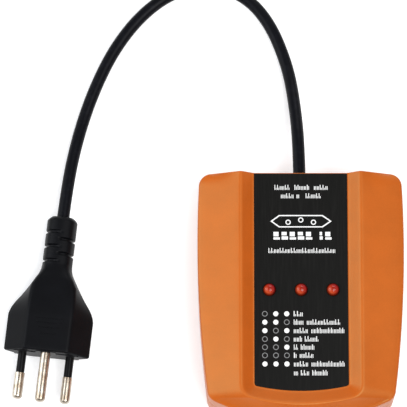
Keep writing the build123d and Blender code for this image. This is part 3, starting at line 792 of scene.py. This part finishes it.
INK = 0.03
LEGEND_X = (-14.34, -10.03, -5.74)
LEGEND_Y = (-7.36, -10.71, -14.08, -17.42, -20.66, -23.91, -27.32)
LEGEND_ROWS = ("oxx", "xxo", "xox", "oxo", "oox", "ooo", "xxx")
LEGEND_WORDS = (
    ((-3.0, 0.9),),
    ((-3.0, 1.05), (2.15, 15.5)),
    ((-3.0, 2.8), (3.9, 17.1)),
    ((-3.0, 0.5), (1.3, 6.9)),
    ((-3.0, -1.2), (-0.3, 5.3)),
    ((-3.0, -1.6), (-0.7, 4.9)),
    ((-3.0, 2.8), (3.9, 17.1)),
    ((-3.0, -1.2), (-0.3, 3.2), (4.15, 10.4)),
)
HEADING_WORDS = (
    (42.5, ((-10.3, -4.1), (-2.4, 3.7), (5.3, 11.0))),
    (39.1, ((-7.8, -2.5), (-1.6, -0.2), (2.0, 8.2))),
    (17.0, ((-12.8, 13.8),)),
)


def make_label_print():
    """The legend's dots and rings, and plain strokes where a maker would print words."""
    dots = []
    rings = []
    for y, row in zip(LEGEND_Y, LEGEND_ROWS):
        for x, state in zip(LEGEND_X, row):
            if state == "x":
                dots.append(round_shape(x, y, 1.0))
            else:
                rings.append((round_shape(x, y, 1.1), round_shape(x, y, 0.84)))
    slab("legend_dots", dots, LABEL_Z, INK, "white_ink", "label_film")
    slab("legend_rings", rings, LABEL_Z, INK, "grey_ink", "label_film")

    words = []
    for row, (y, spans) in enumerate(zip(LEGEND_Y + (-30.85,), LEGEND_WORDS)):
        for word, (left, right) in enumerate(spans):
            words += marks(left, right, y - 1.0, 2.1, seed=row + word)
    slab("legend_words", words, LABEL_Z, INK, "white_ink", "label_film")

    heading = []
    for row, (low, spans) in enumerate(HEADING_WORDS):
        for word, (left, right) in enumerate(spans):
            heading += marks(left, right, low, 2.0, seed=2 * row + word)
    slab("heading_words", heading, LABEL_Z, INK, "white_ink", "label_film")

    # Plain badge: the outline of a three-hole outlet, with its three holes
    outer = [(-12.0, 29.8), (-8.6, 32.3), (8.6, 32.3), (12.2, 29.8), (8.6, 27.3), (-8.6, 27.3)]
    inner = [(-11.2, 29.8), (-8.4, 31.85), (8.4, 31.85), (11.4, 29.8), (8.4, 27.75), (-8.4, 27.75)]
    slab("badge_outline", [(outer, inner)], LABEL_Z, INK, "white_ink", "label_film")
    hole_places = ((-5.0, 29.4), (0.0, 30.3), (5.0, 29.4))
    holes = [(round_shape(x, y, 1.05), round_shape(x, y, 0.65)) for x, y in hole_places]
    slab("badge_holes", holes, LABEL_Z, INK, "white_ink", "label_film")
    blocks = []
    for index, left in enumerate((-10.8, -7.6, -4.4, -1.2, 2.0, 7.4, 9.6)):
        wide = 1.2 if index == 5 else 2.5
        split = 23.9 if index % 2 else 23.5
        blocks.append(bar(left, left + wide, 22.4, split - 0.2))
        blocks.append(bar(left, left + 0.8 * wide, split + 0.2, 25.5))
    slab("bold_bars", blocks, LABEL_Z, INK, "white_ink", "label_film")


make_label_print()


def make_rating_print():
    """Plain lines on the back's rating label."""
    outer_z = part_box("rating_label")[0][2] / MM
    lines = []
    for row in range(5):
        right = (12.0, 4.0, 16.0, 9.0, 1.0)[row]
        lines += marks(-right, 18.0, 12.0 - 3.6 * row, 1.7, pitch=1.3, seed=row)
    lines.append(bar(-18.5, 18.5, -7.4, -7.1))
    slab("rating_words", lines, outer_z - 0.02, 0.02, "black_ink", "rating_film")


make_rating_print()


# ------------------------------------------------------------------ lamps
def make_lamps():
    """Three round-nosed epoxy lamps with a collar under the label."""
    dome_z = LAMP_HEIGHT - LAMP_RADIUS
    profile = [(0.01, 0.0), (2.8, 0.0), (2.9, 0.1), (2.9, 0.9), (2.8, 1.0), (LAMP_RADIUS, 1.05)]
    profile += [(LAMP_RADIUS, dome_z)]
    profile += [(p.x, p.y) for p in arc((0.0, dome_z), LAMP_RADIUS, 0.0, radians(88.0), 14)[1:]]
    for step, side in zip((-1, 0, 1), ("left", "centre", "right")):
        spot = (step * LAMP_PITCH, LAMP_Y, LAMP_BASE_Z)
        place = Matrix.Translation(spot)
        lamp = turned(f"lamp_{side}", profile, place, origin=spot)
        dress(lamp, "lens", "lamp_epoxy", f"led_{side}")


make_lamps()


# ------------------------------------------------------------------ grommet
def make_grommet():
    """Rubber bush in the case's top wall, flanged on both sides, the lead passing through it."""
    bore = 2.52
    wall_in = HALF_LENGTH - WALL
    out = HALF_LENGTH + 1.2
    profile = [(bore, wall_in - 1.2), (5.2, wall_in - 1.2), (5.4, wall_in - 1.0), (5.4, wall_in)]
    profile += [(GROMMET_RADIUS, wall_in), (GROMMET_RADIUS, HALF_LENGTH)]
    profile += [(5.4, HALF_LENGTH), (5.4, out - 0.6)]
    profile += [(5.22, out - 0.22), (4.85, out), (3.1, out), (2.75, out + 0.05), (bore, out - 0.2)]
    bush = turned("lead_grommet", profile, ALONG_LEAD, tube=True)
    return dress(bush, "grommet", "black_pvc", "cord_grommet")


grommet = make_grommet()


# ------------------------------------------------------------------ plug
HEAD_DEPTH = 14.5
NECK_START = 36.0
NECK_RADIUS = 6.0
FLARE = [
    (14.5, 17.4),
    (17.5, 16.5),
    (20.0, 15.0),
    (22.5, 13.1),
    (25.5, 11.0),
    (29.0, 8.9),
    (33.0, 7.1),
    (36.0, 6.2),
]
GROOVES = {-1: (37.4, 43.2, 49.1), 1: (40.3, 46.2)}
SLEEVE_LENGTH = 8.4


def eased_step(value, start, end):
    """0 before start, 1 after end, and a smooth climb between."""
    share = max(0.0, min(1.0, (value - start) / (end - start)))
    return share * share * (3.0 - 2.0 * share)


def flare_width(depth):
    """Half the plug's width at a depth, on a smooth line through the flare's widths."""
    if depth <= HEAD_DEPTH:
        return FLARE[0][1]
    if depth >= NECK_START:
        return FLARE[-1][1]
    spot = next(i for i in range(len(FLARE) - 1) if depth <= FLARE[i + 1][0])
    (d1, w1), (d2, w2) = FLARE[spot], FLARE[spot + 1]
    d0, w0 = FLARE[spot - 1] if spot else (d1 - 3.0, w1)
    d3, w3 = FLARE[spot + 2] if spot + 2 < len(FLARE) else (d2 + 4.0, w2)
    slope1 = (w2 - w0) / (d2 - d0)
    slope2 = (w3 - w1) / (d3 - d1)
    run = d2 - d1
    t = (depth - d1) / run
    rest = 1.0 - t
    ends = rest * rest * (1.0 + 2.0 * t) * w1 + t * t * (3.0 - 2.0 * t) * w2
    return ends + run * (t * rest * rest * slope1 - t * t * rest * slope2)


def hexagon(half_width, flat, half_height, ridge_radius, flat_radius):
    """A six-sided section with rounded corners, in 96 points."""
    corners = [
        Vector(p)
        for p in (
            (half_width, 0.0),
            (flat, half_height),
            (-flat, half_height),
            (-half_width, 0.0),
            (-flat, -half_height),
            (flat, -half_height),
        )
    ]
    arcs = []
    for index, corner in enumerate(corners):
        radius = flat_radius if index % 3 else ridge_radius
        way_in = (corner - corners[index - 1]).normalized()
        way_out = (corners[(index + 1) % 6] - corner).normalized()
        turn = way_in.angle(way_out)
        middle = corner - way_in * radius * tan(turn / 2) + Vector((-way_in.y, way_in.x)) * radius
        start = atan2(-way_in.x, way_in.y)
        arcs.append(arc(middle, radius, start, start + turn, 8))
    line = []
    for index, points in enumerate(arcs):
        line += points + between(points[-1], arcs[(index + 1) % 6][0], 8)
    return line


def plug_section(depth, tuck=0.0):
    """The plug's section at a depth, every side moved inwards by tuck."""
    width = flare_width(depth)
    share = max(0.0, (width - FLARE[-1][1]) / (FLARE[0][1] - FLARE[-1][1]))
    height = NECK_RADIUS + 2.5 * share**0.6
    flat = min(8.8, 0.86 * width)
    ridge_radius = 0.8 + 1.6 * (1.0 - share)
    line = hexagon(width - 1.41 * tuck, flat - 0.42 * tuck, height - tuck, ridge_radius, 2.4)
    roundness = 0.72 * eased_step(depth, 29.0, 36.6)
    section = []
    for point in line:
        circle = point.normalized() * NECK_RADIUS
        section.append(point.lerp(circle, roundness))
    return section


def groove_cut(depth, x):
    """How far the neck's bending grooves sink in at a point of the section."""
    deepest = 0.0
    for side, middles in GROOVES.items():
        reach = eased_step(side * x, -0.5, 1.2)
        for middle in middles:
            deepest = max(deepest, reach * (1.0 - eased_step(abs(depth - middle), 0.35, 0.75)))
    return 1.05 * deepest


def make_plug():
    """Moulded plug body: six-sided head, waisted flare, grooved neck with its bevelled end."""
    rings = []
    for step in range(6):
        angle = pi / 2 * step / 5
        depth = 0.8 * (1.0 - sin(angle))
        rings.append((depth, plug_section(0.0, 0.8 * (1.0 - cos(angle)))))
    rings.reverse()
    depths = [2.0 + 2.5 * i for i in range(5)] + [13.4 + 0.6 * i for i in range(38)]
    depths += [36.0 + 0.15 * i for i in range(119)]
    rings += [(depth, plug_section(depth)) for depth in depths]
    spaced = []
    for depth, section in rings:
        ring = []
        for point in section:
            scale = 1.0
            if depth > NECK_START:
                scale = 1.0 - groove_cut(depth, point.x) / point.length
            ring.append((point.x * scale, point.y * scale, -depth))
        spaced.append(ring)
    nose = plug_section(NECK_END)
    for back, scale in ((1.5, 1.0), (1.2, 0.975), (0.8, 0.915), (0.3, 0.835), (0.05, 0.785), (0.0, 0.75)):
        spaced.append([(p.x * scale, p.y * scale, back - NECK_END) for p in nose])
    for depth, radius in ((NECK_END, 2.7), (NECK_END - 0.3, 2.54), (NECK_END - CABLE_BORE, 2.54)):
        spaced.append([(*(p.normalized() * radius), -depth) for p in nose])
    body = ring_solid("plug_moulding", spaced, PLUG, angle=40.0)
    return dress(body, "plug", "black_pvc", "plug_body")


def make_plug_ribs():
    """Four faint grip lines across the plug's upper face, shorter towards the pins."""
    points = []
    faces = []
    top = 8.5
    for depth, reach in ((13.3, 5.6), (11.5, 5.0), (9.6, 4.3), (7.2, 3.2)):
        start = len(points)
        for height, inset in ((top - 0.05, 0.0), (top + 0.12, 0.0), (top + 0.2, 0.14)):
            half = 0.28 - inset
            across = reach - inset
            points += [
                (-across, height, half - depth),
                (across, height, half - depth),
                (across, height, -half - depth),
                (-across, height, -half - depth),
            ]
        faces += ring_faces(3, 4, start)
        faces.append((start, start + 1, start + 2, start + 3))
        faces.append((start + 8, start + 9, start + 10, start + 11))
    ribs = new_piece("plug_ribs", points, faces, PLUG, angle=25.0)
    return dress(ribs, "plug", "black_pvc")


def pin_tip(radius, end, nose):
    """The rounded end of a pin's profile, down to a small flat."""
    return [(radius - nose + p.x, p.y) for p in arc((0.0, end - nose), nose, 0.0, radians(86.0), 10)]


def make_pins():
    """Two line pins with insulated roots, and the longer earth pin, offset above them."""
    pieces = []
    for side, name in ((-1, "live"), (1, "neutral")):
        spot = (side * 9.5, 0.0)
        profile = [(1.6, -13.0), (1.6, -8.0), (1.1, -8.0)]
        profile += [(1.1, SLEEVE_LENGTH), (1.88, SLEEVE_LENGTH), (2.0, SLEEVE_LENGTH + 0.12)]
        pin = turned(f"{name}_contact_pin", profile + pin_tip(2.0, 19.0, 1.5), PLUG, spot)
        pieces.append(dress(pin, "nickel", "pin_nickel", f"{name}_pin"))
        tube = [(1.1, -3.0), (1.7, -3.0), (1.7, SLEEVE_LENGTH - 0.4), (1.66, SLEEVE_LENGTH - 0.1)]
        tube += [(1.55, SLEEVE_LENGTH), (1.1, SLEEVE_LENGTH)]
        sleeve = turned(f"{name}_sleeve_tube", tube, PLUG, spot, tube=True)
        pieces.append(dress(sleeve, "sleeve", "sleeve_plastic", f"{name}_pin_sleeve"))
    profile = [(1.6, -13.0), (1.6, -8.0), (1.7, -8.0), (1.7, 0.3), (1.9, 0.3), (2.0, 0.4)]
    pin = turned("earth_contact_pin", profile + pin_tip(2.0, 20.0, 1.5), PLUG, (0.0, 5.0))
    pieces.append(dress(pin, "nickel", "pin_nickel", "earth_pin"))
    return pieces


plug_pieces = [make_plug(), make_plug_ribs(), *make_pins()]
plug_pieces += [cad_nodes[name] for name in ("pin_carrier", "plug_live_core", "plug_neutral_core")]
plug_pieces.append(cad_nodes["plug_earth_core"])


# ------------------------------------------------------------------ CAD pieces that stay as they are
KEPT = {
    "rear_shell": "case",
    "front_label": "label",
    "rating_label": "rating",
    "case_screws": "steel",
    "board_screws": "steel",
    "clamp_screws": "steel",
    "led_leads": "tin",
    "circuit_board": "board",
    "dropper_resistors": "resistor",
    "rectifier_diodes": "diode",
    "fusible_resistor": "fusible",
    "board_terminals": "brass",
    "cord_clamp": "clamp",
    "live_core": "brown_core",
    "neutral_core": "blue_core",
    "earth_core": "earth_core",
    "plug_live_core": "brown_core",
    "plug_neutral_core": "blue_core",
    "plug_earth_core": "earth_core",
    "pin_carrier": "carrier",
}
for node, finish_name in KEPT.items():
    for material_slot in cad_nodes[node].material_slots:
        material_slot.material = finishes[finish_name]


# ------------------------------------------------------------------ floor and light
def make_floor():
    """A plain pale floor just under the tester."""
    paper = Finish("floor_paper")
    fibre = paper.noise(2.0, detail=4.0)
    paper.set(
        Base_Color=paper.ramp(fibre, [(0.3, (0.7, 0.7, 0.705)), (0.7, (0.74, 0.74, 0.745))]),
        Roughness=0.9,
        Specular_IOR_Level=0.1,
        Emission_Color=(1.0, 1.0, 1.0),
        Emission_Strength=0.38,
    )
    mesh = bpy.data.meshes.new("floor")
    reach = 6.0
    corners = [(-reach, -reach, 0.0), (reach, -reach, 0.0), (reach, reach, 0.0), (-reach, reach, 0.0)]
    mesh.from_pydata(corners, [], [(0, 1, 2, 3)])
    mesh.materials.append(paper.material)
    floor = bpy.data.objects.new("floor", mesh)
    floor.location.z = -0.05 * MM
    bpy.context.scene.collection.objects.link(floor)


def softbox(name, place, aim, size, watts, colour=(1.0, 1.0, 1.0)):
    """A square area light at place, facing aim, both in metres."""
    data = bpy.data.lights.new(name, "AREA")
    data.shape = "RECTANGLE"
    data.size, data.size_y = size
    data.energy = watts
    data.color = colour
    lamp = bpy.data.objects.new(name, data)
    lamp.location = place
    way = Vector(aim) - Vector(place)
    lamp.rotation_euler = way.to_track_quat("-Z", "Y").to_euler()
    bpy.context.scene.collection.objects.link(lamp)


def make_lights():
    """A tall softbox on the left, a broad key overhead, a low fill behind, and a pale surround."""
    aim = (-0.035, 0.04, 0.01)
    softbox("left_softbox", (-1.1, 0.08, 0.76), aim, (1.1, 1.05), 13.5, (0.92, 0.96, 1.0))
    softbox("key_softbox", (0.5, -0.5, 1.6), aim, (1.2, 1.0), 30.0)
    softbox("back_softbox", (0.3, 1.5, 0.95), aim, (1.2, 0.5), 8.0)
    world = bpy.data.worlds.new("surround")
    world.use_nodes = True
    background = world.node_tree.nodes["Background"]
    background.inputs["Color"].default_value = (1.0, 1.0, 1.0, 1.0)
    background.inputs["Strength"].default_value = 0.3
    bpy.context.scene.world = world


make_floor()
make_lights()
bpy.context.scene.view_settings.view_transform = "Standard"
